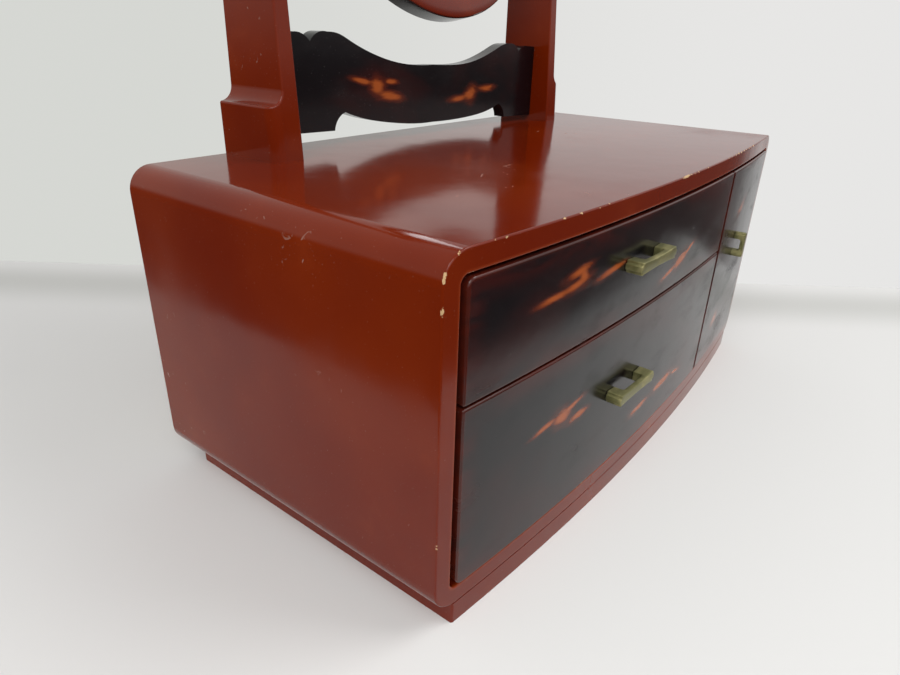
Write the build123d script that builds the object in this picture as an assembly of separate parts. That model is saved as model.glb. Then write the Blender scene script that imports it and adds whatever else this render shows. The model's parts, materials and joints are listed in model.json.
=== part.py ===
from build123d import *
from math import asin, cos, degrees, radians, sin, sqrt
import os

# Vanity box: a low lacquered case with two drawers and a door, and a round mirror
# tilting between two posts. X is to the right, Y to the rear, Z up, the floor at z = 0.

# case
case_width = 450.0
case_depth = 222.6  # at the left and right ends
front_bow = 13.5  # how far the middle of the front stands before its ends
plinth_height = 12.8
case_top = 194.9
board = 10.8  # top and bottom boards
side_board = 10.0
corner_radius = 14.0  # long edges of the case
lip_depth = 15.0  # from the outside down to the seam with a side board
front_edge_round = 0.9
tongue_thick = 3.0
tongue_height = 5.0
tongue_stop = 16.0  # from the front or rear end of a side board
glue_gap = 0.1
cut_past = 5.0  # how far cutting shapes run beyond what they cut
screw_slot = 0.6

# back
back_thick = 5.0
back_ledge = 5.0
back_gap = 0.3
pin_radius = 0.8
pin_head_radius = 1.6
pin_head = 0.8
pin_length = 14.0
pins_across = 4
pins_up = 2

# partition and shelf
door_bay = 125.4  # from the middle of the partition to the right side board
partition_thick = 8.0
housing = 2.0  # depth of the grooves that hold partition and shelf
shelf_z = 124.65
shelf_thick = 6.0

# drawers and door
front_thick = 12.0
front_proud = 1.0  # fronts stand this far before the case
front_rear_gap = 0.5
left_gap = 2.7
middle_gap = 3.0
top_gap = 1.5
bottom_gap = 1.0
between_gap = 1.3
front_corner = 4.5
front_round = 1.2
box_board = 8.0
box_lift = 0.5
box_side_gap = 0.6
box_rear_gap = 6.0
box_below_front = 6.0  # drawer sides are this much lower than the front
back_below_side = 3.0
dado = 4.0
panel_thick = 3.0
panel_up = 3.5  # drawer bottom above the lower edge of the sides
panel_groove = 3.0
panel_gap = 0.1
guide_thick = 2.2
guide_height = 12.0
guide_up = 6.4
guide_front_gap = 24.0
guide_rear_gap = 12.0

# door
door_thick = 11.0
door_side_gap = 1.4
door_round = 1.5
pivot_pin_radius = 2.0
pivot_pin_in_door = 12.0
pivot_pin_in_board = 5.5
running_gap = 0.06
bush_radius = 3.5
bush_depth = 6.5
bush_end = 0.8  # thickness of the closed end
washer_radius = 4.6
washer_gap = 0.1

# pulls
pull_width = 45.0
pull_reach = 9.6
pull_height = 7.4
pull_leg = 10.0
pull_bar = 3.6
pull_pinch = 0.9  # the bar is lower in its middle by this much at its top and at its bottom
pull_waist = 0.3
pull_bevel = 0.9
pull_step = 1.3  # from the end of a leg's rib back to the leg
pull_seat = 2.0  # how far the blank runs on before it is cut to the bowed front
pull_left = 1.9  # from the middle of a drawer front
pull_up = 3.8
door_pull_off = 53.0  # from the middle of the partition
door_pull_z = 118.0
door_pull_width = 19.5
door_pull_reach = 8.0
door_pull_height = 7.4
door_pull_leg = 5.2
door_pull_bar = 3.0
bolt_radius = 1.6
bolt_in_pull = 5.0
bolt_head_radius = 3.4
bolt_head = 2.2
bolt_sink = 0.4
hole_gap = 0.15

# plinth
plinth_inset = 11.7
plinth_board = 12.0
plinth_round = 1.5  # upright front edges
plinth_rear_inset = 13.4
plinth_screw_radius = 1.6
plinth_screw_head_radius = 3.2
plinth_screw_sink = 3.0
plinth_screw_in_board = 6.5

# posts
post_side_gap = 19.5  # between the mirror's rim and a post
block_width = 20.0
block_height = 30.6
post_thick_low = 11.0
post_thick_top = 8.0
post_depth = 49.6  # at the foot
post_lean = 0.055  # the front edge leans back by this much per millimetre
post_round = 1.2
block_round = 7.0
tenon_width = 10.0
tenon_depth = 30.0
tenon_height = 6.5
tenon_gap = 0.1
post_screw_radius = 2.0
post_screw_head_radius = 4.0
post_screw_head = 2.2
post_screw_length = 30.0
post_screw_spacing = 18.0

# crossbar
bar_setback = 18.6  # behind the front of the posts' feet
bar_thick = 10.2
bar_height = 58.5  # from the feet to the top of the humps
bar_clearance = 8.1  # above the case
bar_droop = 0.0292  # the bar falls by this much per millimetre towards the right
bar_tenon = 5.0
bar_tenon_thick = 6.0
bar_tenon_above = 6.0  # over the bar's feet
bar_tenon_height = 31.0

# mirror
mirror_radius = 122.0
mirror_thick = 15.5
mirror_tilt = 12.0
mirror_rise = 198.1  # from the top of the case to the pivots
frame_width = 18.0
frame_crest = 1.4  # height of the rounded front face
frame_edge_round = 1.0
glass_thick = 3.0
glass_cover = 3.5  # the frame laps over the glass by this much
disc_gap = 0.4
back_disc_thick = 3.5
back_disc_lap = 7.0
mirror_screw_count = 6
mirror_screw_radius = 1.2
mirror_screw_head_radius = 2.4
mirror_screw_head = 1.2
mirror_screw_length = 9.0
stud_radius = 3.0
stud_in_frame = 11.0
collar_radius = 7.0
collar_waist = 5.2
collar_land = 3.0  # straight length at each end
collar_seat = 4.0  # the collar starts this far inside the rim and is cut to fit it
washer_thick = 1.0
turning_gap = 0.3
knob_radius = 11.0
knob_neck = 7.0
knob_length = 16.0
knob_bore = 10.0
knob_tip = 3.0  # radius of the small flat at the end
stud_end_gap = 0.5
post_head_round = 19.4
post_shoulder = 4.0  # the round head starts this far above the pivots

# derived places
half_width = case_width / 2
half_depth = case_depth / 2
inner_x = half_width - side_board
floor_z = plinth_height + board
ceiling_z = case_top - board
low_seam = plinth_height + lip_depth
high_seam = case_top - lip_depth
inner_radius = lip_depth - board
partition_x = inner_x - door_bay
bow_radius = (half_width**2 + front_bow**2) / (2 * front_bow)
bow_centre = bow_radius - half_depth - front_bow
fronts_rear = front_proud - front_thick
inside_front = fronts_rear - front_rear_gap
back_front_y = half_depth - back_thick
drawer_left = -inner_x + left_gap
drawer_right = partition_x - middle_gap / 2
door_left = partition_x + middle_gap / 2
door_right = inner_x - door_side_gap
front_low = floor_z + bottom_gap
front_high = ceiling_z - top_gap
front_small_corner = front_round + 0.3
pull_x = (drawer_left + drawer_right) / 2 - pull_left
door_pull_x = partition_x + door_pull_off
shelf_top = shelf_z + shelf_thick / 2
shelf_bottom = shelf_z - shelf_thick / 2
box_left = drawer_left
box_right = partition_x - partition_thick / 2 - box_side_gap
box_rear = back_front_y - box_rear_gap
mirror_z = case_top + mirror_rise
frame_inner_radius = mirror_radius - frame_width
post_inner_x = mirror_radius + post_side_gap
post_front = half_depth - post_depth
bar_front = post_front + bar_setback
bar_low = case_top + bar_clearance
post_mid_y = (post_front + post_lean * mirror_rise + half_depth) / 2
post_top = mirror_z + post_head_round

# the part is shifted so that its bounding box is centred on Y
pull_turn = asin(pull_x / (bow_radius + front_proud))
front_reach = (
    (bow_radius + front_proud + pull_reach) * cos(pull_turn)
    - bow_centre
    + (pull_width - pull_bar) / 2 * abs(sin(pull_turn))
)
rear_reach = (
    post_mid_y
    + (mirror_radius - frame_edge_round) * sin(radians(mirror_tilt))
    + mirror_thick / 2 * cos(radians(mirror_tilt))
)
shift_y = (front_reach - rear_reach) / 2

os.makedirs("parts", exist_ok=True)


def save(node, solid):
    export_step(Pos(0, shift_y, 0) * solid, f"parts/{node}.step")


def block(x0, x1, y0, y1, z0, z1):
    middle = Pos((x0 + x1) / 2, (y0 + y1) / 2, (z0 + z1) / 2)
    return middle * Box(x1 - x0, y1 - y0, z1 - z0)


def along_y(section, y0, y1):
    return extrude(Plane.XZ.offset(-y1) * section, y1 - y0)


def along_x(section, x0, x1):
    return extrude(Plane.YZ.offset(x0) * section, x1 - x0)


def bow(forward, z0, z1):
    """Everything behind the bowed front surface, moved forward by the given distance."""
    middle = Pos(0, bow_centre, (z0 + z1) / 2)
    return middle * Cylinder(bow_radius + forward, z1 - z0)


def bow_y(x, forward):
    return bow_centre - sqrt((bow_radius + forward) ** 2 - x**2)


def rod_y(radius, x, z, y0, y1):
    return Pos(x, (y0 + y1) / 2, z) * Rot(90, 0, 0) * Cylinder(radius, y1 - y0)


def rod_x(radius, y, z, x0, x1):
    return Pos((x0 + x1) / 2, y, z) * Rot(0, 90, 0) * Cylinder(radius, x1 - x0)


def rod_z(radius, x, y, z0, z1):
    return Pos(x, y, (z0 + z1) / 2) * Cylinder(radius, z1 - z0)


def screw(radius, head_radius, head, length):
    """Countersunk screw from z = 0 downwards, its head at the top."""
    cone = Pos(0, 0, -head / 2) * Cone(radius, head_radius, head)
    shank = Pos(0, 0, -length / 2) * Cylinder(radius, length)
    slot = Pos(0, 0, -screw_slot / 2) * Box(2 * head_radius, screw_slot, screw_slot)
    return cone + shank - slot


def screw_hole(radius, head_radius, head, length):
    cone = Pos(0, 0, -head / 2) * Cone(radius, head_radius, head)
    shank = Pos(0, 0, -length / 2) * Cylinder(radius, length)
    return cone + shank


# the case shell: one rounded box section, divided into four boards at the seams
def shell():
    height = case_top - plinth_height
    outline = RectangleRounded(case_width, height, corner_radius)
    opening = RectangleRounded(2 * inner_x, height - 2 * board, inner_radius)
    section = Pos(0, (case_top + plinth_height) / 2) * (outline - opening)
    ring = along_y(section, -half_depth - front_bow - 1, half_depth)
    ring = ring & bow(0, 0, case_top + 1)
    face = ring.faces().sort_by(Axis.Y)[0]
    ring = fillet(face.edges(), front_edge_round)
    ledge = inner_x + back_ledge
    rebate = block(
        -ledge, ledge, back_front_y, half_depth + 1, floor_z - back_ledge, ceiling_z + back_ledge
    )
    return ring - rebate


def tongue(side, z, up):
    x = side * (half_width - side_board / 2)
    y0 = -half_depth + tongue_stop
    y1 = half_depth - tongue_stop
    if up:
        return block(x - tongue_thick / 2, x + tongue_thick / 2, y0, y1, z, z + tongue_height)
    return block(x - tongue_thick / 2, x + tongue_thick / 2, y0, y1, z - tongue_height, z)


def groove(side, z, up):
    x = side * (half_width - side_board / 2)
    half = tongue_thick / 2 + glue_gap
    y0 = -half_depth + tongue_stop - glue_gap
    y1 = half_depth - tongue_stop + glue_gap
    deep = tongue_height + glue_gap
    if up:
        return block(x - half, x + half, y0, y1, z, z + deep)
    return block(x - half, x + half, y0, y1, z - deep, z)


def partition():
    half = partition_thick / 2
    body = block(
        partition_x - half, partition_x + half, -half_depth - front_bow, back_front_y,
        floor_z - housing, ceiling_z + housing,
    )
    return body & bow(inside_front, 0, case_top)


def shelf():
    body = block(
        -inner_x - housing, partition_x - partition_thick / 2 + housing,
        -half_depth - front_bow, back_front_y, shelf_bottom, shelf_top,
    )
    return body & bow(inside_front, 0, case_top)


def guides():
    laths = []
    for base in (floor_z, shelf_top):
        laths.append(
            block(
                -inner_x, -inner_x + guide_thick, -half_depth + guide_front_gap,
                back_front_y - guide_rear_gap, base + guide_up, base + guide_up + guide_height,
            )
        )
    return laths


def back_pin_places():
    places = []
    x_edge = inner_x + back_ledge / 2
    z_low = floor_z - back_ledge / 2
    z_high = ceiling_z + back_ledge / 2
    for i in range(pins_across):
        x = -x_edge + 2 * x_edge * (i + 0.5) / pins_across
        places += [(x, z_low), (x, z_high)]
    for i in range(pins_up):
        z = z_low + (z_high - z_low) * (i + 1) / (pins_up + 1)
        places += [(-x_edge, z), (x_edge, z)]
    return places


def back_pin(x, z):
    shank = rod_y(pin_radius, x, z, half_depth - pin_length, half_depth)
    return shank + rod_y(pin_head_radius, x, z, half_depth - pin_head, half_depth)


# the plinth: four boards, the front one bowed like the case
def plinth_boards():
    x = half_width - plinth_inset
    rear = half_depth - plinth_rear_inset
    body = block(-x, x, -half_depth - front_bow - 1, rear, 0, plinth_height)
    body = body & bow(0, -1, plinth_height + 1)
    inner = bow(-plinth_board, -1, plinth_height + 1)
    front = body - inner
    front = fillet(front.edges().filter_by(Axis.Z).sort_by(Axis.Y)[:2], plinth_round)
    rest = body & inner
    rear_board = rest & block(
        -x + plinth_board, x - plinth_board, rear - plinth_board, rear, 0, plinth_height
    )
    left = rest & block(-x, -x + plinth_board, -case_depth, rear, 0, plinth_height)
    right = rest & block(x - plinth_board, x, -case_depth, rear, 0, plinth_height)
    return front, left, right, rear_board


def plinth_screw_places():
    x_side = half_width - plinth_inset - plinth_board / 2
    places = [(x_side * s, y) for s in (-1, 1) for y in (-half_depth / 2, half_depth / 2)]
    y_rear = half_depth - plinth_rear_inset - plinth_board / 2
    for x in (-half_width / 2, half_width / 2):
        places.append((x, y_rear))
        places.append((x, bow_y(x, -plinth_board / 2)))
    return places


def plinth_screw(x, y, hole):
    length = plinth_height - plinth_screw_sink + plinth_screw_in_board
    head = plinth_screw_head_radius - plinth_screw_radius
    shape = screw_hole if hole else screw
    turned = Rot(180, 0, 0) * shape(plinth_screw_radius, plinth_screw_head_radius, head, length)
    placed = Pos(x, y, plinth_screw_sink) * turned
    if hole:
        placed = placed + rod_z(plinth_screw_head_radius, x, y, 0, plinth_screw_sink)
    return placed


# the posts, modelled at the right and mirrored for the left
def post_thickness(z):
    low = case_top + block_height + block_width - post_thick_low
    part = (z - low) / (post_top - low)
    return post_thick_low + (post_thick_top - post_thick_low) * part


def post_front_y(z):
    return post_front + post_lean * (z - case_top)


def post_body():
    x0 = post_inner_x
    x1 = post_inner_x + block_width
    x_low = post_inner_x + post_thick_low
    x_top = post_inner_x + post_thick_top
    ledge = case_top + block_height
    cove = block_width - post_thick_low
    bend = cove * (1 - sqrt(0.5))
    outline = (
        Line((x0, case_top), (x1, case_top))
        + Line((x1, case_top), (x1, ledge))
        + ThreePointArc((x1, ledge), (x_low + bend, ledge + bend), (x_low, ledge + cove))
        + Line((x_low, ledge + cove), (x_top, post_top))
        + Line((x_top, post_top), (x0, post_top))
        + Line((x0, post_top), (x0, case_top))
    )
    front_view = along_y(make_face(outline), post_front - cut_past, half_depth + cut_past)
    shoulder = mirror_z + post_shoulder
    y_low = post_front_y(case_top)
    y_high = post_front_y(shoulder)
    profile = (
        Line((y_low, case_top), (half_depth, case_top))
        + Line((half_depth, case_top), (half_depth, shoulder))
        + ThreePointArc((half_depth, shoulder), (post_mid_y, post_top - 0.2), (y_high, shoulder))
        + Line((y_high, shoulder), (y_low, case_top))
    )
    side_view = along_x(make_face(profile), x0 - cut_past, x1 + cut_past)
    return front_view & side_view


def rounded_post():
    """The post with its block's outer front corner and its long front edges rounded."""
    body = post_body()
    ledge = case_top + block_height
    upright = body.edges().filter_by(lambda e: e.bounding_box().max.Y < post_mid_y)
    corner = (
        upright.filter_by(lambda e: e.bounding_box().max.Z < ledge + glue_gap)
        .filter_by(lambda e: e.bounding_box().min.X > post_inner_x + block_width - glue_gap)
        .filter_by(lambda e: e.bounding_box().size.Z > block_height / 2)
    )
    body = fillet(corner, block_round)
    long_edges = (
        body.edges()
        .filter_by(lambda e: e.bounding_box().max.Y < post_mid_y)
        .filter_by(lambda e: e.bounding_box().size.Z > (post_top - case_top) / 2)
    )
    return fillet(long_edges, post_round)


def post_tenon():
    x = post_inner_x + block_width / 2
    y = (post_front + half_depth) / 2
    return x, y


def post():
    x, y = post_tenon()
    tenon = block(
        x - tenon_width / 2, x + tenon_width / 2, y - tenon_depth / 2, y + tenon_depth / 2,
        case_top - tenon_height, case_top,
    )
    bore = rod_x(
        stud_radius + running_gap, post_mid_y, mirror_z, post_inner_x - 1, post_inner_x + block_width
    )
    return rounded_post() + tenon - bore


def mortise():
    x, y = post_tenon()
    half_x = tenon_width / 2 + tenon_gap
    half_y = tenon_depth / 2 + tenon_gap
    return block(
        x - half_x, x + half_x, y - half_y, y + half_y,
        case_top - tenon_height - tenon_gap, case_top + 1,
    )


def post_screws(shape):
    x, y = post_tenon()
    shapes = []
    for side in (-1, 1):
        turned = Rot(180, 0, 0) * shape(
            post_screw_radius, post_screw_head_radius, post_screw_head, post_screw_length
        )
        for step in (-0.5, 0.5):
            shapes.append(Pos(side * x, y + step * post_screw_spacing, ceiling_z) * turned)
    return shapes


# the crossbar: a swag that rises to a hump beside each post
def bar_point(across, up):
    """A point of the outline, given as parts of the half span and of the bar's height."""
    x = across * post_inner_x
    return (x, bar_low + up * bar_height - bar_droop * x)


def bar_half(side):
    def p(across, up):
        return bar_point(side * across, up)

    along = (side, -bar_droop)
    swag_low = [p(0, 0.01), p(0.32, 0.04), p(0.63, 0.19)]
    swag_high = [p(0, 0.70), p(0.35, 0.75), p(0.59, 0.93), p(0.72, 1)]
    notch = p(0.82, 0.90)
    ear = p(0.91, 0.98)
    foot = p(0.70, 0)
    outline = (
        Spline(*swag_high, tangents=[along, along])
        + ThreePointArc(swag_high[-1], p(0.785, 0.975), notch)
        + ThreePointArc(notch, p(0.852, 0.96), ear)
        + Polyline(ear, p(1, 0.98), p(1, 0), foot)
        + ThreePointArc(foot, p(0.675, 0.125), swag_low[-1])
        + Spline(*swag_low, tangents=[along, (side * 0.93, 0.37)])
        + Line(swag_low[0], swag_high[0])
    )
    return make_face(outline)


def bar_tenons(gap):
    shapes = []
    y = bar_front + bar_thick / 2
    half = bar_tenon_thick / 2 + gap
    low = bar_low + bar_tenon_above
    for side in (-1, 1):
        inner = side * (post_inner_x - 1)
        outer = side * (post_inner_x + bar_tenon + gap)
        x0, x1 = sorted((inner, outer))
        drop = bar_droop * side * post_inner_x
        shapes.append(
            block(x0, x1, y - half, y + half, low - drop - gap, low + bar_tenon_height - drop + gap)
        )
    return shapes


def crossbar():
    bar = along_y(bar_half(1), bar_front, bar_front + bar_thick)
    bar = bar + along_y(bar_half(-1), bar_front, bar_front + bar_thick)
    for tenon in bar_tenons(0):
        bar = bar + tenon
    return bar


# drawer fronts and door: panels bent like the case
def front_panel(x0, x1, z0, z1, thick, big_corners):
    outline = Pos((x0 + x1) / 2, (z0 + z1) / 2) * Rectangle(x1 - x0, z1 - z0)
    for corner in outline.vertices():
        place = (corner.X > (x0 + x1) / 2, corner.Y > (z0 + z1) / 2)
        radius = front_corner if place in big_corners else front_small_corner
        near = outline.vertices().sort_by_distance(corner)[0]
        outline = fillet(near, radius)
    slab = along_y(outline, -half_depth - front_bow - cut_past, 0)
    return (slab & bow(front_proud, z0 - 1, z1 + 1)) - bow(front_proud - thick, z0 - 1, z1 + 1)


def round_front(panel, radius):
    face = panel.faces().sort_by(Axis.Y)[0]
    return fillet(face.edges(), radius)


# pulls: two legs and a bar, lying in local XY with the foot at y = 0 and the bar towards -Y
def pull_plan(width, reach, leg, bar):
    """The pull seen from above, with the finger gap between its legs."""
    half = width / 2
    nose = bar / 2
    outline = (
        Polyline((-half + nose, -reach), (-half, nose - reach), (-half, pull_seat))
        + Line((-half, pull_seat), (half, pull_seat))
        + Polyline((half, pull_seat), (half, nose - reach), (half - nose, -reach))
        + ThreePointArc((half - nose, -reach), (0, pull_waist - reach), (-half + nose, -reach))
    )
    gap = half - leg
    deep = reach - bar
    opening = (
        Polyline((-gap, -deep / 2), (-gap, 2 * pull_seat), (gap, 2 * pull_seat), (gap, -deep / 2))
        + ThreePointArc((gap, -deep / 2), (gap - deep * 0.15, -deep * 0.85), (gap - deep / 2, -deep))
        + Line((gap - deep / 2, -deep), (deep / 2 - gap, -deep))
        + ThreePointArc((deep / 2 - gap, -deep), (deep * 0.15 - gap, -deep * 0.85), (-gap, -deep / 2))
    )
    return make_face(outline) - make_face(opening)


def pull_front(width, height):
    """The pull seen from the front: pinched in the middle, with a rib along each end."""
    half = width / 2
    top = height / 2
    rib = height / 4
    neck = half - pull_step
    end = [(neck, top), (neck, rib), (half, rib), (half, -rib), (neck, -rib), (neck, -top)]
    other_end = [(-x, z) for x, z in reversed(end)]
    return make_face(
        Polyline(*end)
        + ThreePointArc(end[-1], (0, pull_pinch - top), other_end[0])
        + Polyline(*other_end)
        + ThreePointArc(other_end[-1], (0, top - pull_pinch), end[0])
    )


def pull_blank(width, reach, leg, bar, height):
    half = height / 2
    blank = Pos(0, 0, -half) * extrude(pull_plan(width, reach, leg, bar), height)
    blank = blank & along_y(pull_front(width, height), -2 * reach, 2 * reach)
    bevel = pull_bevel - reach
    edge = half - pull_bevel
    side_view = Polyline(
        (reach, half), (bevel, half), (-reach, edge), (-reach, -edge), (bevel, -half), (reach, -half),
        close=True,
    )
    return blank & along_x(make_face(side_view), -width, width)


def bolt_places(width, leg):
    return [-(width - leg) / 2, (width - leg) / 2]


def bolt(x, thick, wider):
    """One bolt in the pull's frame, its head behind a front of the given thickness."""
    head = rod_y(bolt_head_radius + wider, x, 0, thick - bolt_sink, thick - bolt_sink + bolt_head)
    return head + rod_y(bolt_radius + wider, x, 0, -bolt_in_pull, thick)


def at_front(x, z, upright):
    """Where a pull's frame sits on the bowed surface."""
    turn = asin(x / (bow_radius + front_proud))
    place = Pos(x, bow_y(x, front_proud), z) * Rot(0, 0, degrees(turn))
    return place * Rot(0, 90, 0) if upright else place


def fit_pull(front, x, z, width, reach, leg, bar, height, thick, upright):
    """Returns the front with its holes, the pull seated on it and the two bolts."""
    place = at_front(x, z, upright)
    blank = pull_blank(width, reach, leg, bar, height)
    bolts = []
    for at in bolt_places(width, leg):
        blank = blank - rod_y(bolt_radius, at, 0, -bolt_in_pull, 2 * pull_seat)
        front = front - place * bolt(at, thick, hole_gap)
        bolts.append(place * bolt(at, thick, 0))
    seated = (place * blank) - bow(front_proud, 0, case_top)
    return front, seated, bolts


def drawer(name, z0, z1, box_low, big_corners):
    front = front_panel(drawer_left, drawer_right, z0, z1, front_thick, big_corners)
    front = round_front(front, front_round)
    box_high = z1 - box_below_front
    ends = bow(fronts_rear + dado, z0, z1)
    sides = []
    for x0 in (box_left, box_right - box_board):
        plank = block(x0, x0 + box_board, -half_depth - front_bow, box_rear, box_low, box_high)
        sides.append(plank & ends)
    left, right = sides
    rear = block(
        box_left + box_board, box_right - box_board, box_rear - box_board, box_rear,
        box_low, box_high - back_below_side,
    )
    panel_low = box_low + panel_up
    groove_left = box_left + box_board - panel_groove
    groove_right = box_right - box_board + panel_groove
    panel = block(
        groove_left + panel_gap, groove_right - panel_gap, -half_depth - front_bow,
        box_rear - box_board + panel_groove - panel_gap, panel_low, panel_low + panel_thick,
    )
    panel = panel & bow(fronts_rear + panel_groove - panel_gap, z0, z1)
    slot = block(
        groove_left, groove_right, -half_depth - front_bow, box_rear - box_board + panel_groove,
        panel_low, panel_low + panel_thick,
    )
    slot = slot & bow(fronts_rear + panel_groove, z0, z1)
    left = left - slot
    right = right - slot
    rear = rear - slot
    front = front - left - right - slot
    front, pull, bolts = fit_pull(
        front, pull_x, (z0 + z1) / 2 + pull_up, pull_width, pull_reach, pull_leg, pull_bar,
        pull_height, front_thick, False,
    )
    save(f"{name}_front", front)
    save(f"{name}_left_side", left)
    save(f"{name}_right_side", right)
    save(f"{name}_back", rear)
    save(f"{name}_bottom", panel)
    save(f"{name}_pull", pull)
    save(f"{name}_bolts", Compound(bolts))


# the door turns on pins in its half-round right-hand edge
door_pivot_x = door_right - door_thick / 2
door_pivot_turn = asin(door_pivot_x / (bow_radius + front_proud - door_thick / 2))
door_pivot_y = bow_y(door_pivot_x, front_proud - door_thick / 2)


def bow_point(turn, forward):
    radius = bow_radius + forward
    return (radius * sin(turn), bow_centre - radius * cos(turn))


def door():
    free = asin(door_left / (bow_radius + front_proud))
    half = (free + door_pivot_turn) / 2
    rear = front_proud - door_thick
    tip = (
        door_pivot_x + door_thick / 2 * cos(door_pivot_turn),
        door_pivot_y + door_thick / 2 * sin(door_pivot_turn),
    )
    outer_end = bow_point(door_pivot_turn, front_proud)
    inner_end = bow_point(door_pivot_turn, rear)
    plan = (
        ThreePointArc(bow_point(free, front_proud), bow_point(half, front_proud), outer_end)
        + ThreePointArc(outer_end, tip, inner_end)
        + ThreePointArc(inner_end, bow_point(half, rear), bow_point(free, rear))
        + Line(bow_point(free, rear), bow_point(free, front_proud))
    )
    panel = Pos(0, 0, front_low) * extrude(make_face(plan), front_high - front_low)
    rims = panel.faces().filter_by(Axis.Z).edges()
    free_edges = panel.edges().filter_by(Axis.Z).sort_by(Axis.X)[:2]
    panel = fillet(rims + free_edges, door_round)
    pins = [
        rod_z(
            pivot_pin_radius, door_pivot_x, door_pivot_y,
            front_high - pivot_pin_in_door, ceiling_z + pivot_pin_in_board,
        ),
        rod_z(
            pivot_pin_radius, door_pivot_x, door_pivot_y,
            floor_z - pivot_pin_in_board, front_low + pivot_pin_in_door,
        ),
    ]
    for pin in pins:
        panel = panel - pin
    return panel, pins


def door_bush(face_z, up):
    far = face_z + bush_depth if up else face_z - bush_depth
    z0, z1 = sorted((face_z, far))
    outer = rod_z(bush_radius, door_pivot_x, door_pivot_y, z0, z1)
    b0, b1 = (z0 - 1, z1 - bush_end) if up else (z0 + bush_end, z1 + 1)
    inner = rod_z(pivot_pin_radius + running_gap, door_pivot_x, door_pivot_y, b0, b1)
    return outer - inner, outer


def washer_seat():
    radius = washer_radius + washer_gap
    return rod_z(radius, door_pivot_x, door_pivot_y, floor_z, floor_z + inner_radius)


def door_washer():
    outer = rod_z(washer_radius, door_pivot_x, door_pivot_y, floor_z, front_low - washer_gap)
    return outer - rod_z(
        pivot_pin_radius + running_gap, door_pivot_x, door_pivot_y, floor_z - 1, front_low + 1
    )


# the mirror, modelled upright about its centre and then tilted back
def tilted(shape):
    return Pos(0, post_mid_y, mirror_z) * Rot(-mirror_tilt, 0, 0) * shape


glass_radius = frame_inner_radius + glass_cover
back_disc_radius = glass_radius + back_disc_lap
back_disc_y = mirror_thick / 2 - back_disc_thick
glass_y = back_disc_y - glass_thick


def mirror_ring():
    front_y = -mirror_thick / 2
    mid = (frame_inner_radius + mirror_radius) / 2
    edge = front_y + frame_crest
    r0 = frame_inner_radius
    r1 = mirror_radius
    rr = frame_edge_round
    rear_y = mirror_thick / 2
    profile = ThreePointArc((r0, edge), (mid, front_y), (r1 - rr, edge)) + Polyline(
        (r1 - rr, edge), (r1, edge + rr), (r1, rear_y - rr), (r1 - rr, rear_y),
        (back_disc_radius, rear_y), (back_disc_radius, back_disc_y), (glass_radius, back_disc_y),
        (glass_radius, glass_y), (r0, glass_y), (r0, edge),
    )
    return revolve(make_face(profile), Axis.Y)


def mirror_screw_shapes(shape):
    radius = glass_radius + back_disc_lap / 2
    shapes = []
    for i in range(mirror_screw_count):
        angle = 360 * (i + 0.5) / mirror_screw_count
        place = Rot(0, angle, 0) * Pos(radius, mirror_thick / 2, 0) * Rot(-90, 0, 0)
        shapes.append(
            place * shape(
                mirror_screw_radius, mirror_screw_head_radius, mirror_screw_head, mirror_screw_length
            )
        )
    return shapes


def collar(side):
    outer = post_inner_x - washer_thick - turning_gap
    inner = mirror_radius - collar_seat
    waist = (mirror_radius + outer) / 2
    waist_start = mirror_radius + collar_land
    waist_end = outer - collar_land
    profile = (
        Line((inner, 0), (outer, 0))
        + Line((outer, 0), (outer, collar_radius))
        + Line((outer, collar_radius), (waist_end, collar_radius))
        + ThreePointArc((waist_end, collar_radius), (waist, collar_waist), (waist_start, collar_radius))
        + Line((waist_start, collar_radius), (inner, collar_radius))
        + Line((inner, collar_radius), (inner, 0))
    )
    body = revolve(make_face(profile), Axis.X)
    body = body - rod_x(stud_radius, 0, 0, inner - 1, outer + 1)
    if side < 0:
        body = body.mirror(Plane.YZ)
    return body - (Rot(90, 0, 0) * Cylinder(mirror_radius, 4 * collar_radius))


def knob_start():
    return post_inner_x + post_thickness(mirror_z - knob_radius) + turning_gap


def knob(side):
    x0 = knob_start()
    shoulder = knob_radius * 0.86

    def p(along, radius):
        return (x0 + along * knob_length, radius)

    profile = (
        Polyline(p(0, 0), p(0, knob_neck), p(0.16, knob_neck))
        + ThreePointArc(p(0.16, knob_neck), p(0.25, (knob_neck + shoulder) / 2), p(0.31, shoulder))
        + ThreePointArc(p(0.31, shoulder), p(0.53, knob_radius), p(0.75, shoulder))
        + ThreePointArc(p(0.75, shoulder), p(0.94, knob_radius * 0.6), p(1, knob_tip))
        + Polyline(p(1, knob_tip), p(1, 0), p(0, 0))
    )
    body = revolve(make_face(profile), Axis.X)
    body = body - rod_x(stud_radius + running_gap, 0, 0, x0 - 1, x0 + knob_bore)
    return body if side > 0 else body.mirror(Plane.YZ)


def stud(side):
    x0 = mirror_radius - stud_in_frame
    x1 = knob_start() + knob_bore - stud_end_gap
    body = rod_x(stud_radius, 0, 0, x0, x1)
    return body if side > 0 else body.mirror(Plane.YZ)


def washer(side):
    x1 = post_inner_x - turning_gap
    body = rod_x(collar_radius, 0, 0, x1 - washer_thick, x1)
    body = body - rod_x(stud_radius, 0, 0, x1 - washer_thick - 1, x1 + 1)
    return body if side > 0 else body.mirror(Plane.YZ)


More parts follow.
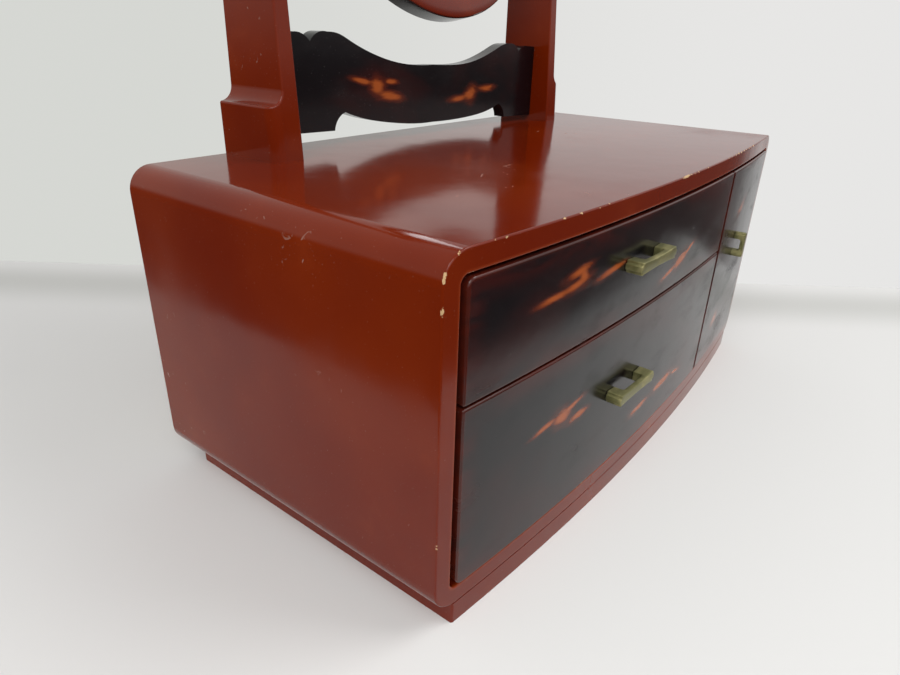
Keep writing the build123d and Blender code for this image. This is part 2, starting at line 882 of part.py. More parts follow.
def build_case():
    ring = shell()
    wide = case_width
    tall = case_top
    top = ring & block(-wide, wide, -wide, wide, high_seam, tall + 1)
    bottom = ring & block(-wide, wide, -wide, wide, 0, low_seam)
    left = ring & block(-wide, 0, -wide, wide, low_seam, high_seam)
    right = ring & block(0, wide, -wide, wide, low_seam, high_seam)
    for side in (-1, 1):
        top = top - groove(side, high_seam, True)
        bottom = bottom - groove(side, low_seam, False)
    left = left + tongue(-1, high_seam, True) + tongue(-1, low_seam, False)
    right = right + tongue(1, high_seam, True) + tongue(1, low_seam, False)

    divider = partition()
    ledge = shelf()
    top = top - divider
    bottom = bottom - divider
    divider = divider - ledge
    left = left - ledge

    panel = block(
        -inner_x - back_ledge + back_gap, inner_x + back_ledge - back_gap, back_front_y, half_depth,
        floor_z - back_ledge + back_gap, ceiling_z + back_ledge - back_gap,
    )
    pins = [back_pin(x, z) for x, z in back_pin_places()]
    for pin in pins:
        panel = panel - pin
        top = top - pin
        bottom = bottom - pin
        left = left - pin
        right = right - pin

    left_mortise = mortise().mirror(Plane.YZ)
    top = top - mortise() - left_mortise
    for hole in post_screws(screw_hole):
        top = top - hole

    high_bush, high_seat = door_bush(ceiling_z, True)
    low_bush, low_seat = door_bush(floor_z, False)
    top = top - high_seat
    bottom = bottom - low_seat - washer_seat()

    front, plinth_left, plinth_right, plinth_rear = plinth_boards()
    screws = []
    for x, y in plinth_screw_places():
        hole = plinth_screw(x, y, True)
        bottom = bottom - hole
        front = front - hole
        plinth_left = plinth_left - hole
        plinth_right = plinth_right - hole
        plinth_rear = plinth_rear - hole
        screws.append(plinth_screw(x, y, False))

    save("top_board", top)
    save("bottom_board", bottom)
    save("left_side", left)
    save("right_side", right)
    save("back_panel", panel)
    save("back_pins", Compound(pins))
    save("partition", divider)
    save("drawer_shelf", ledge)
    save("drawer_guides", Compound(guides()))
    save("plinth_front", front)
    save("plinth_left", plinth_left)
    save("plinth_right", plinth_right)
    save("plinth_rear", plinth_rear)
    save("plinth_screws", Compound(screws))
    save("door_bushes", Compound([high_bush, low_bush]))
    save("door_washer", door_washer())


def build_posts():
    right = post()
    left = right.mirror(Plane.YZ)
    for socket in bar_tenons(tenon_gap):
        right = right - socket
        left = left - socket
    for hole in post_screws(screw_hole):
        right = right - hole
        left = left - hole
    save("left_post", left)
    save("right_post", right)
    save("post_screws", Compound(post_screws(screw)))
    save("crossbar", crossbar())


def build_door():
    panel, pins = door()
    panel, pull, bolts = fit_pull(
        panel, door_pull_x, door_pull_z, door_pull_width, door_pull_reach, door_pull_leg,
        door_pull_bar, door_pull_height, door_thick, True,
    )
    save("door_panel", panel)
    save("door_pull", pull)
    save("door_bolts", Compound(bolts))
    save("door_pins", Compound(pins))


def build_mirror():
    ring = mirror_ring()
    for side in (-1, 1):
        ring = ring - stud(side)
    for hole in mirror_screw_shapes(screw_hole):
        ring = ring - hole
    disc = Pos(0, back_disc_y + back_disc_thick / 2, 0) * Rot(90, 0, 0)
    disc = disc * Cylinder(back_disc_radius - disc_gap, back_disc_thick)
    for hole in mirror_screw_shapes(screw_hole):
        disc = disc - hole
    glass = Pos(0, glass_y + glass_thick / 2, 0) * Rot(90, 0, 0)
    glass = glass * Cylinder(glass_radius - disc_gap, glass_thick)
    save("mirror_frame", tilted(ring))
    save("mirror_glass", tilted(glass))
    save("mirror_back", tilted(disc))
    save("mirror_screws", tilted(Compound(mirror_screw_shapes(screw))))
    for side, name in ((-1, "left"), (1, "right")):
        save(f"{name}_stud", tilted(stud(side)))
        save(f"{name}_collar", tilted(collar(side)))
        save(f"{name}_knob", tilted(knob(side)))
    save("pivot_washers", tilted(Compound([washer(-1), washer(1)])))


build_case()
build_posts()
drawer("upper_drawer", shelf_z + between_gap / 2, front_high, shelf_top + box_lift, [(False, True)])
drawer("lower_drawer", front_low, shelf_z - between_gap / 2, floor_z + box_lift, [(False, False)])
build_door()
build_mirror()
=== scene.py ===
import json
from math import asin, cos, pi, radians, sin, sqrt

import bpy
from mathutils import Matrix, Vector


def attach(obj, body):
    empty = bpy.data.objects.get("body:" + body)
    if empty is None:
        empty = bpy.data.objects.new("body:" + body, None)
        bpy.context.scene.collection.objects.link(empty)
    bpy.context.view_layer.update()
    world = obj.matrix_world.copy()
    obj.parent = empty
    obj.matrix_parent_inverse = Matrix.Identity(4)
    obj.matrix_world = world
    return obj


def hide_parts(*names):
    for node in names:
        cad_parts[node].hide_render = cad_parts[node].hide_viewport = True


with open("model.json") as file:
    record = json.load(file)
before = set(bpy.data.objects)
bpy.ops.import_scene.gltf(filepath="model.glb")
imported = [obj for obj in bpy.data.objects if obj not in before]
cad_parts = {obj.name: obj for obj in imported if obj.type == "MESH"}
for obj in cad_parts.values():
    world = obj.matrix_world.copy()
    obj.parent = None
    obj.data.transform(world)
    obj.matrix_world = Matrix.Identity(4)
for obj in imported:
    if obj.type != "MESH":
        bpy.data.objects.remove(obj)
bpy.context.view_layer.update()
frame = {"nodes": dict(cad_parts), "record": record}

nodes = frame["nodes"]

# sizes shared with the part, in metres
caseSize = {
    "halfWidth": 0.225,
    "sideFront": -0.106138,
    "top": 0.1949,
    "bottom": 0.0128,
    "corner": 0.014,
    "side": 0.010,
    "board": 0.0108,
    "innerCorner": 0.0042,
    "bow": 0.0135,
}
bowRadius = (caseSize["halfWidth"] ** 2 + caseSize["bow"] ** 2) / (2 * caseSize["bow"])
bowCentre = caseSize["sideFront"] - caseSize["bow"] + bowRadius


# material building

class Wire:
    def __init__(self, tree, socket):
        self.tree = tree
        self.socket = socket

    def calc(self, operation, *values):
        node = self.tree.nodes.new("ShaderNodeMath")
        node.operation = operation
        for socket, value in zip(node.inputs, values):
            plug(self.tree, socket, value)
        return Wire(self.tree, node.outputs[0])

    def __add__(self, other):
        return self.calc("ADD", self, other)

    def __radd__(self, other):
        return self.calc("ADD", other, self)

    def __sub__(self, other):
        return self.calc("SUBTRACT", self, other)

    def __rsub__(self, other):
        return self.calc("SUBTRACT", other, self)

    def __mul__(self, other):
        return self.calc("MULTIPLY", self, other)

    def __rmul__(self, other):
        return self.calc("MULTIPLY", other, self)

    def __truediv__(self, other):
        return self.calc("DIVIDE", self, other)

    def __rtruediv__(self, other):
        return self.calc("DIVIDE", other, self)

    def __neg__(self):
        return self.calc("MULTIPLY", self, -1.0)

    def __abs__(self):
        return self.calc("ABSOLUTE", self)

    def least(self, other):
        return self.calc("MINIMUM", self, other)

    def most(self, other):
        return self.calc("MAXIMUM", self, other)


def root(value):
    return value.calc("SQRT", value)


def plug(tree, socket, value):
    if isinstance(value, Wire):
        tree.links.new(value.socket, socket)
    else:
        socket.default_value = value


class Paint:
    def __init__(self, name):
        self.material = bpy.data.materials.new(name)
        self.material.use_nodes = True
        self.tree = self.material.node_tree
        self.tree.nodes.clear()
        self.place = self.make("ShaderNodeTexCoord", output="Object")

    def make(self, kind, settings=None, inputs=None, output=0):
        node = self.tree.nodes.new(kind)
        for name, value in (settings or {}).items():
            setattr(node, name, value)
        for name, value in (inputs or {}).items():
            plug(self.tree, node.inputs[name], value)
        return Wire(self.tree, node.outputs[output]) if node.outputs else None

    def axis(self, name):
        return self.make("ShaderNodeSeparateXYZ", None, {0: self.place}, name)

    def stretched(self, x, y, z):
        settings = {"operation": "MULTIPLY"}
        return self.make("ShaderNodeVectorMath", settings, {0: self.place, 1: (x, y, z)})

    def noise(self, scale, detail=2.0, rough=0.5, warp=0.0, vector=None):
        inputs = {"Vector": vector or self.place, "Scale": scale, "Detail": detail}
        inputs["Roughness"] = rough
        inputs["Distortion"] = warp
        return self.make("ShaderNodeTexNoise", None, inputs, 0)

    def ramp(self, value, low, high):
        inputs = {"Value": value, "From Min": low, "From Max": high}
        return self.make("ShaderNodeMapRange", {"interpolation_type": "SMOOTHSTEP"}, inputs)

    def mix(self, factor, first, second):
        inputs = {0: factor, 6: first, 7: second}
        return self.make("ShaderNodeMix", {"data_type": "RGBA"}, inputs, 2)

    def bump(self, height, distance, strength=1.0):
        inputs = {"Height": height, "Distance": distance, "Strength": strength}
        return self.make("ShaderNodeBump", None, inputs)

    def surface(self, **inputs):
        names = {key.replace("_", " "): value for key, value in inputs.items()}
        shader = self.make("ShaderNodeBsdfPrincipled", None, names)
        self.make("ShaderNodeOutputMaterial", None, {"Surface": shader})
        return self.material


def colour(red, green, blue):
    return (red, green, blue, 1.0)


patchWiden = 1.12


# distance measure of a soft-edged patch at (x, z), of half sizes (a, b), turned by an angle
def blot(across, up, spot, ragged):
    x, z, a, b, turn = spot
    dx = across - x
    dz = up - z
    along = (dx * cos(turn) + dz * sin(turn)) / a
    over = (dz * cos(turn) - dx * sin(turn)) / (b * patchWiden)
    return root(along * along + over * over) + ragged


# red lacquer of the case, posts and plinth
lacquer = {
    "red": colour(0.168, 0.0165, 0.0008),
    "brown": colour(0.130, 0.0098, 0.0005),
    "orange": colour(0.270, 0.0420, 0.0090),
    "dust": colour(0.42, 0.30, 0.24),
    "wood": colour(0.55, 0.36, 0.18),
    "roughness": 0.11,
    "scratch": 0.10,
    "wear": 0.0011,
    "ior": 1.34,
}


# how far a point lies behind the bowed front, inside the outer outline, outside the opening
def edgeDistances(paint):
    x = paint.axis("X")
    y = paint.axis("Y")
    z = paint.axis("Z")
    fromCentre = y - bowCentre
    behind = bowRadius - root(x * x + fromCentre * fromCentre)
    midZ = (caseSize["top"] + caseSize["bottom"]) / 2
    halfZ = (caseSize["top"] - caseSize["bottom"]) / 2

    def outline(halfX, halfUp, corner):
        qx = abs(x) - (halfX - corner)
        qz = abs(z - midZ) - (halfUp - corner)
        px = qx.most(0.0)
        pz = qz.most(0.0)
        outside = root(px * px + pz * pz)
        return outside + qx.most(qz).least(0.0) - corner

    outer = -outline(caseSize["halfWidth"], halfZ, caseSize["corner"])
    innerX = caseSize["halfWidth"] - caseSize["side"]
    inner = outline(innerX, halfZ - caseSize["board"], caseSize["innerCorner"])
    return behind, outer, inner


def redLacquer(name, edges):
    paint = Paint(name)
    broad = paint.noise(7.0, 3.0, 0.55)
    cloudy = paint.noise(28.0, 4.0, 0.6)
    base = paint.mix(paint.ramp(broad, 0.35, 0.68), lacquer["brown"], lacquer["red"])
    base = paint.mix(paint.ramp(cloudy, 0.58, 0.85) * 0.25, base, lacquer["orange"])
    specks = paint.noise(1100.0, 1.0, 0.5)
    base = paint.mix(paint.ramp(specks, 0.765, 0.80) * 0.3, base, lacquer["dust"])
    scuffs = paint.noise(150.0, 3.0, 0.6, 1.2, vector=paint.stretched(0.35, 1.0, 1.0))
    sparse = paint.noise(14.0, 2.0, 0.5)
    scuffed = paint.ramp(scuffs, 0.665, 0.72) * paint.ramp(sparse, 0.56, 0.66)
    base = paint.mix(scuffed * 0.35, base, lacquer["dust"])
    lines = paint.noise(45.0, 2.0, 0.4, 0.4, vector=paint.stretched(14.0, 1.0, 14.0))
    scratched = paint.ramp(lines, 0.66, 0.70) * paint.ramp(broad, 0.5, 0.7)
    hazy = paint.noise(9.0, 4.0, 0.6)
    rough = lacquer["roughness"] + 0.12 * paint.ramp(hazy, 0.45, 0.75)
    rough = rough + lacquer["scratch"] * scratched + 0.25 * scuffed
    height = paint.noise(38.0, 2.0, 0.5) * 0.7 + paint.noise(420.0, 2.0, 0.5) * 0.04
    if edges:
        behind, outer, inner = edgeDistances(paint)
        flecks = paint.noise(230.0, 5.0, 0.7)
        long = paint.noise(24.0, 2.0, 0.5)
        inCase = paint.ramp(outer, -0.0012, -0.0006)
        spread = paint.ramp(flecks, 0.48, 0.66) * paint.ramp(long, 0.44, 0.58) * lacquer["wear"]
        worn = paint.ramp(behind + outer - spread, 0.00016, -0.00010) * inCase
        spreadInner = 0.0006 * paint.ramp(flecks, 0.48, 0.64) * paint.ramp(long, 0.46, 0.60)
        wornInner = paint.ramp(behind + inner - spreadInner, 0.00016, -0.00008) * inCase
        worn = worn.most(wornInner * 0.8)
        # painted highlight: a lighter orange band along the rim of the opening, standing in for
        # light caught on its rounded edge
        glow = paint.ramp(behind + inner, 0.0022, 0.0006) * 0.5 * inCase
        base = paint.mix(glow, base, lacquer["orange"])
        base = paint.mix(worn, base, lacquer["wood"])
        rough = rough + 0.4 * worn
        height = height - worn * 0.4
    return paint.surface(
        Base_Color=base,
        Roughness=rough,
        IOR=lacquer["ior"],
        Normal=paint.bump(height, 0.0004, 0.35),
    )


# dark lacquer with amber patches: drawer fronts, door and crossbar
tortoise = {
    "black": colour(0.0042, 0.0034, 0.0046),
    "maroon": colour(0.040, 0.0045, 0.0035),
    "amber": colour(0.34, 0.075, 0.014),
    "rust": colour(0.125, 0.018, 0.005),
    "dust": colour(0.35, 0.33, 0.32),
    "roughness": 0.17,
    "ior": 1.42,
}
# patches: x, z, half length, half height in metres, turn in radians
upperSpots = [
    (-0.1525, 0.1585, 0.0115, 0.0014, 0.05),
    (-0.1340, 0.1605, 0.0100, 0.0020, 0.15),
    (-0.1290, 0.1635, 0.0040, 0.0034, -0.50),
    (-0.1330, 0.1665, 0.0095, 0.0020, 0.15),
    (-0.1010, 0.1592, 0.0110, 0.0016, 0.10),
    (-0.0200, 0.1375, 0.0110, 0.0016, 0.20),
    (-0.0030, 0.1415, 0.0105, 0.0030, 0.30),
    (0.0110, 0.1460, 0.0085, 0.0014, 0.35),
]
lowerSpots = [
    (-0.1485, 0.0872, 0.0090, 0.0017, 0.12),
    (-0.1345, 0.0866, 0.0074, 0.0038, 0.0),
    (-0.1235, 0.0895, 0.0085, 0.0016, 0.15),
    (-0.1170, 0.0802, 0.0080, 0.0018, 0.05),
    (-0.0310, 0.0470, 0.0125, 0.0020, 0.05),
    (0.0050, 0.0495, 0.0145, 0.0026, 0.05),
    (0.0330, 0.0475, 0.0080, 0.0014, -0.15),
]
doorSpots = [
    (0.1405, 0.1480, 0.0090, 0.0030, 0.50),
    (0.1280, 0.0575, 0.0085, 0.0036, 0.40),
]
barSpots = [
    (-0.0750, 0.2357, 0.0080, 0.0014, -0.19),
    (-0.0586, 0.2315, 0.0056, 0.0044, -0.30),
    (-0.0460, 0.2246, 0.0105, 0.0023, -0.15),
    (-0.0450, 0.2340, 0.0055, 0.0012, -0.10),
    (0.0325, 0.2185, 0.0100, 0.0019, 0.05),
    (0.0485, 0.2213, 0.0070, 0.0042, 0.30),
    (0.0705, 0.2252, 0.0095, 0.0018, 0.0),
]


# the pattern on a front that fills the rectangle x0, x1, z0, z1
def tortoiseLacquer(name, spots, x0, x1, z0, z1):
    paint = Paint(name)
    across = paint.axis("X")
    up = paint.axis("Z")
    ragged = paint.noise(70.0, 3.0, 0.6, 0.8, vector=paint.stretched(0.6, 0.6, 2.0)) - 0.5
    shade = None
    for spot in spots:
        reach = blot(across, up, spot, ragged * 1.8)
        shade = reach if shade is None else shade.calc("SMOOTH_MIN", shade, reach, 0.7)
    glow = paint.ramp(shade, 2.1, 0.7)
    core = paint.ramp(shade, 1.25, 0.35)
    cloud = paint.noise(11.0, 3.0, 0.55, 0.3, vector=paint.stretched(0.8, 1.0, 1.6))
    streaks = paint.noise(34.0, 4.0, 0.6, 0.5, vector=paint.stretched(0.4, 1.0, 1.8))
    base = paint.mix(paint.ramp(cloud, 0.48, 0.74) * 0.55, tortoise["black"], tortoise["maroon"])
    inside = (across - x0).least(x1 - across).least(up - z0).least(z1 - up)
    rim = paint.ramp(inside, 0.016, 0.0) * paint.ramp(streaks, 0.36, 0.62)
    base = paint.mix(rim * 0.9, base, tortoise["maroon"])
    # painted highlight: a thin rust line along the front's edges, standing in for light caught on
    # the rounded edges
    paintedEdgeHighlight = paint.ramp(inside, 0.0022, 0.0006)
    base = paint.mix(paintedEdgeHighlight * 0.25, base, tortoise["rust"])
    base = paint.mix(glow * 0.75, base, tortoise["rust"])
    base = paint.mix(core, base, tortoise["amber"])
    dust = paint.noise(1400.0, 1.0, 0.5)
    base = paint.mix(paint.ramp(dust, 0.765, 0.79) * 0.3, base, tortoise["dust"])
    smear = paint.noise(24.0, 4.0, 0.6, vector=paint.stretched(1.0, 1.0, 2.5))
    rough = tortoise["roughness"] + 0.12 * paint.ramp(smear, 0.45, 0.75)
    height = paint.noise(30.0, 2.0, 0.5) + paint.noise(500.0, 2.0, 0.5) * 0.03
    return paint.surface(
        Base_Color=base,
        Roughness=rough,
        IOR=tortoise["ior"],
        Normal=paint.bump(height, 0.0004, 0.35),
    )


# aged brass of the pulls
brass = {
    "light": colour(0.40, 0.36, 0.17),
    "olive": colour(0.185, 0.178, 0.072),
    "dark": colour(0.050, 0.048, 0.022),
    "metallic": 0.6,
    "roughness": 0.34,
}


def agedBrass(name):
    paint = Paint(name)
    mottled = paint.noise(190.0, 4.0, 0.6, vector=paint.stretched(0.4, 1.0, 1.0))
    broad = paint.noise(60.0, 2.0, 0.5)
    base = paint.mix(paint.ramp(mottled, 0.42, 0.72) * 0.75, brass["olive"], brass["light"])
    base = paint.mix(paint.ramp(broad, 0.54, 0.76) * 0.6, base, brass["dark"])
    rough = brass["roughness"] + 0.22 * paint.ramp(mottled, 0.4, 0.7)
    height = paint.noise(1200.0, 3.0, 0.6)
    return paint.surface(
        Base_Color=base,
        Metallic=brass["metallic"],
        Roughness=rough,
        Normal=paint.bump(height, 0.0001, 0.4),
    )


def plainWood(name, light, dark, grain):
    paint = Paint(name)
    x, y, z = grain
    rings = paint.noise(30.0, 3.0, 0.6, 0.5, vector=paint.stretched(x, y, z))
    fibres = paint.noise(260.0, 4.0, 0.7, vector=paint.stretched(x, y, z))
    base = paint.mix(paint.ramp(rings, 0.35, 0.7), light, dark)
    base = paint.mix(paint.ramp(fibres, 0.5, 0.8) * 0.4, base, dark)
    return paint.surface(
        Base_Color=base,
        Roughness=0.55 + 0.2 * fibres,
        Normal=paint.bump(fibres, 0.0003, 0.4),
    )


def plainMetal(name, base, roughness):
    paint = Paint(name)
    worn = paint.noise(700.0, 4.0, 0.6)
    tone = paint.mix(paint.ramp(worn, 0.4, 0.7) * 0.5, base, colour(0.12, 0.11, 0.09))
    return paint.surface(
        Base_Color=tone,
        Metallic=1.0,
        Roughness=roughness + 0.2 * worn,
        Normal=paint.bump(worn, 0.00008, 0.4),
    )


def blackLacquer(name):
    paint = Paint(name)
    cloud = paint.noise(80.0, 3.0, 0.6)
    clouded = paint.ramp(cloud, 0.4, 0.7)
    base = paint.mix(clouded, colour(0.008, 0.006, 0.006), colour(0.03, 0.012, 0.01))
    rough = 0.14 + 0.12 * paint.ramp(paint.noise(300.0, 4.0, 0.6), 0.45, 0.75)
    return paint.surface(
        Base_Color=base, Roughness=rough, IOR=1.48, Normal=paint.bump(cloud, 0.0003, 0.3)
    )


def leather(name):
    paint = Paint(name)
    pores = paint.noise(1500.0, 3.0, 0.6)
    base = paint.mix(pores, colour(0.10, 0.05, 0.03), colour(0.20, 0.11, 0.06))
    return paint.surface(Base_Color=base, Roughness=0.8, Normal=paint.bump(pores, 0.0002, 0.6))


def silvered(name):
    paint = Paint(name)
    haze = paint.noise(40.0, 4.0, 0.6)
    base = paint.mix(paint.ramp(haze, 0.4, 0.8), colour(0.90, 0.92, 0.92), colour(0.84, 0.87, 0.87))
    return paint.surface(
        Base_Color=base,
        Metallic=1.0,
        Roughness=0.015 + 0.03 * paint.ramp(haze, 0.6, 0.8),
        Normal=paint.bump(haze, 0.00002, 0.1),
    )


# the mirror's axis, its lean at rest and the depth where the face's red ends, in metres
mirror = {"y": 0.0971099, "z": 0.393, "lean": radians(12), "redEnd": -0.0062}


# red on the face, black around the edge and behind
def mirrorFrameLacquer(name):
    paint = Paint(name)
    y = paint.axis("Y")
    z = paint.axis("Z")
    lean = mirror["lean"]
    depth = (y - mirror["y"]) * cos(lean) - (z - mirror["z"]) * sin(lean)
    cloudy = paint.noise(28.0, 4.0, 0.6)
    red = paint.mix(paint.ramp(cloudy, 0.4, 0.8), lacquer["brown"], lacquer["red"])
    behind = paint.ramp(depth, mirror["redEnd"], mirror["redEnd"] + 0.0005)
    base = paint.mix(behind, red, colour(0.010, 0.007, 0.007))
    rough = 0.13 + 0.10 * paint.ramp(paint.noise(120.0, 5.0, 0.6), 0.5, 0.8)
    return paint.surface(
        Base_Color=base, Roughness=rough, IOR=1.46, Normal=paint.bump(cloudy, 0.0003, 0.3)
    )


print("materials")
finishes = {
    "red_lacquer": redLacquer("redLacquer", True),
    "mirror_lacquer": mirrorFrameLacquer("mirrorLacquer"),
    "tortoise_lacquer": tortoiseLacquer("barLacquer", barSpots, -1.0, 1.0, -1.0, 1.0),
    "case_wood": plainWood(
        "caseWood", colour(0.50, 0.33, 0.18), colour(0.34, 0.20, 0.10), (1.0, 0.12, 3.0)
    ),
    "plywood": plainWood(
        "plywood", colour(0.46, 0.31, 0.17), colour(0.36, 0.22, 0.12), (0.15, 1.0, 1.0)
    ),
    "pull_brass": agedBrass("pullBrass"),
    "pivot_brass": plainMetal("pivotBrass", colour(0.62, 0.44, 0.18), 0.25),
    "steel": plainMetal("steel", colour(0.45, 0.45, 0.45), 0.35),
    "glass": silvered("mirrorGlass"),
    "washer_leather": leather("washerLeather"),
    "black_lacquer": blackLacquer("blackLacquer"),
}
plainRed = redLacquer("plainRedLacquer", False)
ownFinishes = {
    "upper_drawer_front": tortoiseLacquer(
        "upperFrontLacquer", upperSpots, -0.2123, 0.0881, 0.1253, 0.1826
    ),
    "lower_drawer_front": tortoiseLacquer(
        "lowerFrontLacquer", lowerSpots, -0.2123, 0.0881, 0.0246, 0.1240
    ),
    "door_panel": tortoiseLacquer("doorLacquer", doorSpots, 0.0911, 0.2136, 0.0246, 0.1826),
}
unworn = ("left_post", "right_post", "plinth_front", "plinth_left", "plinth_right", "plinth_rear")
for name in unworn:
    ownFinishes[name] = plainRed
slotOf = {entry["node"]: entry["material_slot"] for entry in frame["record"]["subparts"]}
for name, piece in nodes.items():
    piece.data.materials.clear()
    piece.data.materials.append(ownFinishes.get(name, finishes[slotOf[name]]))


def deselect():
    if bpy.context.object and bpy.context.object.mode != "OBJECT":
        bpy.ops.object.mode_set(mode="OBJECT")
    bpy.ops.object.select_all(action="DESELECT")


def applyTransform():
    bpy.ops.object.transform_apply(location=True, rotation=True, scale=True)


def addBox(low, high):
    deselect()
    middle = [(a + b) / 2 for a, b in zip(low, high)]
    size = [b - a for a, b in zip(low, high)]
    bpy.ops.mesh.primitive_cube_add(size=1, location=middle, scale=size)
    applyTransform()
    return bpy.context.object


def applyModifier(piece, kind, **settings):
    deselect()
    piece.select_set(True)
    bpy.context.view_layer.objects.active = piece
    modifier = piece.modifiers.new("step", kind)
    for name, value in settings.items():
        setattr(modifier, name, value)
    bpy.ops.object.modifier_apply(modifier="step")


def carve(piece, cutter):
    applyModifier(piece, "BOOLEAN", operation="DIFFERENCE", solver="EXACT", object=cutter)
    deselect()
    cutter.select_set(True)
    bpy.ops.object.delete()


# pulls: a pinched bar on two ribbed legs, the foot at y = 0 before they are put in place
pullShapes = {
    "upper_drawer_pull": {
        "body": "upper_drawer", "x": -0.064, "z": 0.15775, "upright": False,
        "width": 0.045, "reach": 0.00955, "leg": 0.010, "bar": 0.0036, "height": 0.0074,
    },
    "lower_drawer_pull": {
        "body": "lower_drawer", "x": -0.064, "z": 0.0781, "upright": False,
        "width": 0.045, "reach": 0.00955, "leg": 0.010, "bar": 0.0036, "height": 0.0074,
    },
    "door_pull": {
        "body": "door", "x": 0.1426, "z": 0.118, "upright": True,
        "width": 0.0195, "reach": 0.0080, "leg": 0.0052, "bar": 0.0030, "height": 0.0074,
    },
}
pullDetail = {
    "seat": 0.00012, "step": 0.0013, "pinch": 0.0009, "round": 0.0007, "gapRound": 0.0016,
    "slices": 8, "proud": 0.001,
}


def makePull(name, shape):
    half = shape["width"] / 2
    top = shape["height"] / 2
    reach = shape["reach"]
    seat = pullDetail["seat"]
    piece = addBox((-half, -reach, -top), (half, seat, top))
    bpy.ops.object.mode_set(mode="EDIT")
    slices = [half * (2 * i / pullDetail["slices"] - 1) for i in range(1, pullDetail["slices"])]
    for x in slices:
        bpy.ops.mesh.select_all(action="SELECT")
        bpy.ops.mesh.bisect(plane_co=(x, 0, 0), plane_no=(1, 0, 0))
    bpy.ops.mesh.select_mode(type="VERT")
    for x in slices:
        bpy.ops.mesh.select_all(action="DESELECT")
        bpy.ops.object.mode_set(mode="OBJECT")
        for vertex in piece.data.vertices:
            vertex.select = abs(vertex.co.x - x) < 1e-5
        bpy.ops.object.mode_set(mode="EDIT")
        thinner = 1 - pullDetail["pinch"] / top * (1 - (x / half) ** 2)
        bpy.ops.transform.resize(value=(1, 1, thinner), center_override=(0, 0, 0))
    bpy.ops.object.mode_set(mode="OBJECT")
    inner = half - shape["leg"]
    deep = reach - shape["bar"]
    gap = addBox((-inner, -deep, -2 * top), (inner, deep, 2 * top))
    applyModifier(gap, "BEVEL", width=pullDetail["gapRound"], segments=5)
    carve(piece, gap)
    neck = half - pullDetail["step"]
    for side in (-1, 1):
        for end in (-1, 1):
            x0, x1 = sorted((side * neck, side * 2 * half))
            z0, z1 = sorted((end * top / 2, end * 2 * top))
            carve(piece, addBox((x0, -2 * reach, z0), (x1, 2 * reach, z1)))
    applyModifier(
        piece, "BEVEL", width=pullDetail["round"], segments=3, limit_method="ANGLE",
        angle_limit=radians(40), use_clamp_overlap=True,
    )
    deselect()
    piece.select_set(True)
    bpy.context.view_layer.objects.active = piece
    bpy.ops.object.mode_set(mode="EDIT")
    bpy.ops.mesh.select_all(action="SELECT")
    bpy.ops.mesh.remove_doubles(threshold=0.00001)
    bpy.ops.mesh.normals_make_consistent(inside=False)
    bpy.ops.object.mode_set(mode="OBJECT")
    radius = bowRadius + pullDetail["proud"]
    x = shape["x"]
    piece.location = (x, bowCentre - sqrt(radius * radius - x * x), shape["z"])
    piece.rotation_euler = (0, pi / 2 if shape["upright"] else 0, asin(x / radius))
    applyTransform()
    bpy.ops.object.shade_smooth_by_angle(angle=radians(20))
    piece.name = name + "_visual"
    piece.data.materials.append(finishes["pull_brass"])
    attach(piece, shape["body"])
    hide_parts(name)
    return piece


print("pulls")
for name, shape in pullShapes.items():
    makePull(name, shape)


# camera at the photo's viewing angle
view = {
    "place": (-0.3992, -0.243038, 0.2673),
    "yaw": 0.9189,
    "pitch": 0.4438,
    "roll": 0.0307,
    "lens": 25.85,
}


def setCamera():
    yaw, pitch, roll = view["yaw"], view["pitch"], view["roll"]
    forward = Vector((sin(yaw) * cos(pitch), cos(yaw) * cos(pitch), -sin(pitch)))
    level = Vector((cos(yaw), -sin(yaw), 0))
    upright = level.cross(forward)
    right = level * cos(roll) + upright * sin(roll)
    up = upright * cos(roll) - level * sin(roll)
    data = bpy.data.cameras.new("camera")
    data.sensor_fit = "HORIZONTAL"
    data.sensor_width = 36
    data.lens = view["lens"]
    data.clip_start = 0.01
    camera = bpy.data.objects.new("camera", data)
    turn = Matrix((right, up, -forward)).transposed()
    camera.matrix_world = Matrix.Translation(view["place"]) @ turn.to_4x4()
    bpy.context.scene.collection.objects.link(camera)
    bpy.context.scene.camera = camera


# table, backdrop and light
room = {
    "tableLeft": -0.385,
    "tableRight": 0.80,
    "tableFront": -0.305,
    "tableFar": 0.275,  # from the part's middle, along the camera's heading
    "tableThick": 0.03,
    "tableWidth": 4.0,
    "table": colour(0.75, 0.745, 0.73),
    # painted shade colour of the band where the table curves up towards the backdrop
    "paintedFoldShade": colour(0.56, 0.56, 0.535),
    "backdropRadius": 1.6,
    "backdropLeft": colour(0.67, 0.68, 0.65),
    "backdropRight": colour(0.80, 0.795, 0.785),
    # painted reflection: the dim colour the glossy surfaces reflect outside the bright zone
    "backdropDim": colour(0.10, 0.070, 0.066),
    "ambient": 0.44,
}
lamps = {
    "key": {"place": (0.9, -1.1, 1.7), "size": 1.2, "power": 20.0},
    "fill": {"place": (-1.25, -0.7, 1.3), "size": 1.5, "power": 25.0},
}
lampAim = (0, 0, 0.15)


def heading(paint):
    return paint.axis("X") * sin(view["yaw"]) + paint.axis("Y") * cos(view["yaw"])


def tableCloth(name):
    paint = Paint(name)
    cloud = paint.noise(3.0, 3.0, 0.5)
    ahead = heading(paint)
    # painted shade: a darker band across the table just before its far edge, where the sweep curves
    # up
    paintedFoldShade = paint.ramp(ahead, 0.14, 0.21) * paint.ramp(ahead, 0.275, 0.215)
    base = paint.mix(cloud * 0.12, room["table"], colour(0.70, 0.70, 0.68))
    base = paint.mix(paintedFoldShade * 0.8, base, room["paintedFoldShade"])
    weave = paint.noise(900.0, 2.0, 0.6)
    return paint.surface(
        Base_Color=base, Roughness=0.6, IOR=1.3, Normal=paint.bump(weave, 0.0001, 0.3)
    )


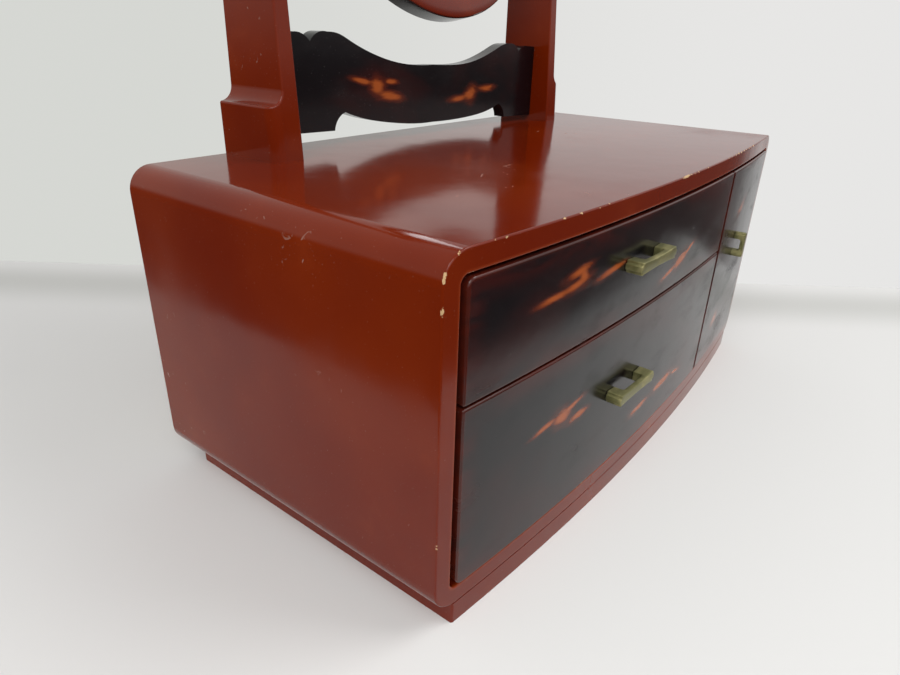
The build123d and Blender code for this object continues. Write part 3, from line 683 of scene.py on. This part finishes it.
# seen directly and in gloss only, so that it puts no light on the part
def backdropPaper(name):
    paint = Paint(name)
    x = paint.axis("X")
    y = paint.axis("Y")
    across = x * cos(view["yaw"]) - y * sin(view["yaw"])
    # painted light falloff: the backdrop is darker at the left and brighter at the right
    tone = paint.mix(
        paint.ramp(across, -0.9, 0.9), room["backdropLeft"], room["backdropRight"]
    )
    # painted reflection: in gloss rays the backdrop shows only this zone bright and the dim colour
    # elsewhere, so the lacquer reflects a dark room there
    bright = paint.ramp(y, -0.35, -0.16) * paint.ramp(x, -0.40, 0.14)
    bright = bright.most(paint.ramp(paint.axis("Z"), 0.15, 0.45))
    direct, gloss, through = [
        paint.make("ShaderNodeLightPath", output=kind)
        for kind in ("Is Camera Ray", "Is Glossy Ray", "Is Transmission Ray")
    ]
    tone = paint.mix(bright.most(direct), room["backdropDim"], tone)
    seen = direct.most(gloss).most(through)
    glow = paint.make("ShaderNodeEmission", None, {"Color": tone, "Strength": 1.0})
    clear = paint.make("ShaderNodeBsdfTransparent")
    shader = paint.make("ShaderNodeMixShader", None, {0: seen, 1: clear, 2: glow})
    paint.make("ShaderNodeOutputMaterial", None, {"Surface": shader})
    return paint.material


def cutAway(point, normal):
    bpy.ops.mesh.select_all(action="SELECT")
    bpy.ops.mesh.bisect(plane_co=point, plane_no=normal, use_fill=True, clear_outer=True)


def setRoom():
    deselect()
    thick, wide = room["tableThick"], room["tableWidth"]
    bpy.ops.mesh.primitive_cube_add(size=1, location=(0, 0, -thick / 2), scale=(wide, wide, thick))
    table = bpy.context.object
    table.name = "table"
    applyTransform()
    ahead = Vector((sin(view["yaw"]), cos(view["yaw"]), 0))
    bpy.ops.object.mode_set(mode="EDIT")
    cutAway(ahead * room["tableFar"], ahead)
    cutAway((room["tableLeft"], 0, 0), (-1, 0, 0))
    cutAway((room["tableRight"], 0, 0), (1, 0, 0))
    cutAway((0, room["tableFront"], 0), (0, -1, 0))
    bpy.ops.object.mode_set(mode="OBJECT")
    table.data.materials.append(tableCloth("tableCloth"))
    deselect()
    bpy.ops.mesh.primitive_cylinder_add(
        vertices=128, radius=room["backdropRadius"], depth=6.0, end_fill_type="NOTHING",
        location=(0, 0, -0.4),
    )
    backdrop = bpy.context.object
    backdrop.name = "backdrop"
    applyTransform()
    bpy.ops.object.shade_smooth()
    backdrop.data.materials.append(backdropPaper("backdropPaper"))
    for name, values in lamps.items():
        lamp = bpy.data.lights.new(name, "AREA")
        lamp.size = values["size"]
        lamp.energy = values["power"]
        holder = bpy.data.objects.new(name, lamp)
        holder.location = values["place"]
        aim = Vector(lampAim) - Vector(values["place"])
        holder.rotation_mode = "QUATERNION"
        holder.rotation_quaternion = aim.to_track_quat("-Z", "Y")
        bpy.context.scene.collection.objects.link(holder)
    world = bpy.data.worlds.new("room")
    bpy.context.scene.world = world
    world.use_nodes = True
    tree = world.node_tree
    tree.nodes.clear()
    back = tree.nodes.new("ShaderNodeBackground")
    back.inputs["Color"].default_value = colour(1.0, 1.0, 1.0)
    back.inputs["Strength"].default_value = room["ambient"]
    out = tree.nodes.new("ShaderNodeOutputWorld")
    tree.links.new(back.outputs[0], out.inputs["Surface"])
    bpy.context.scene.view_settings.view_transform = "Standard"


print("room and camera")
setCamera()
setRoom()
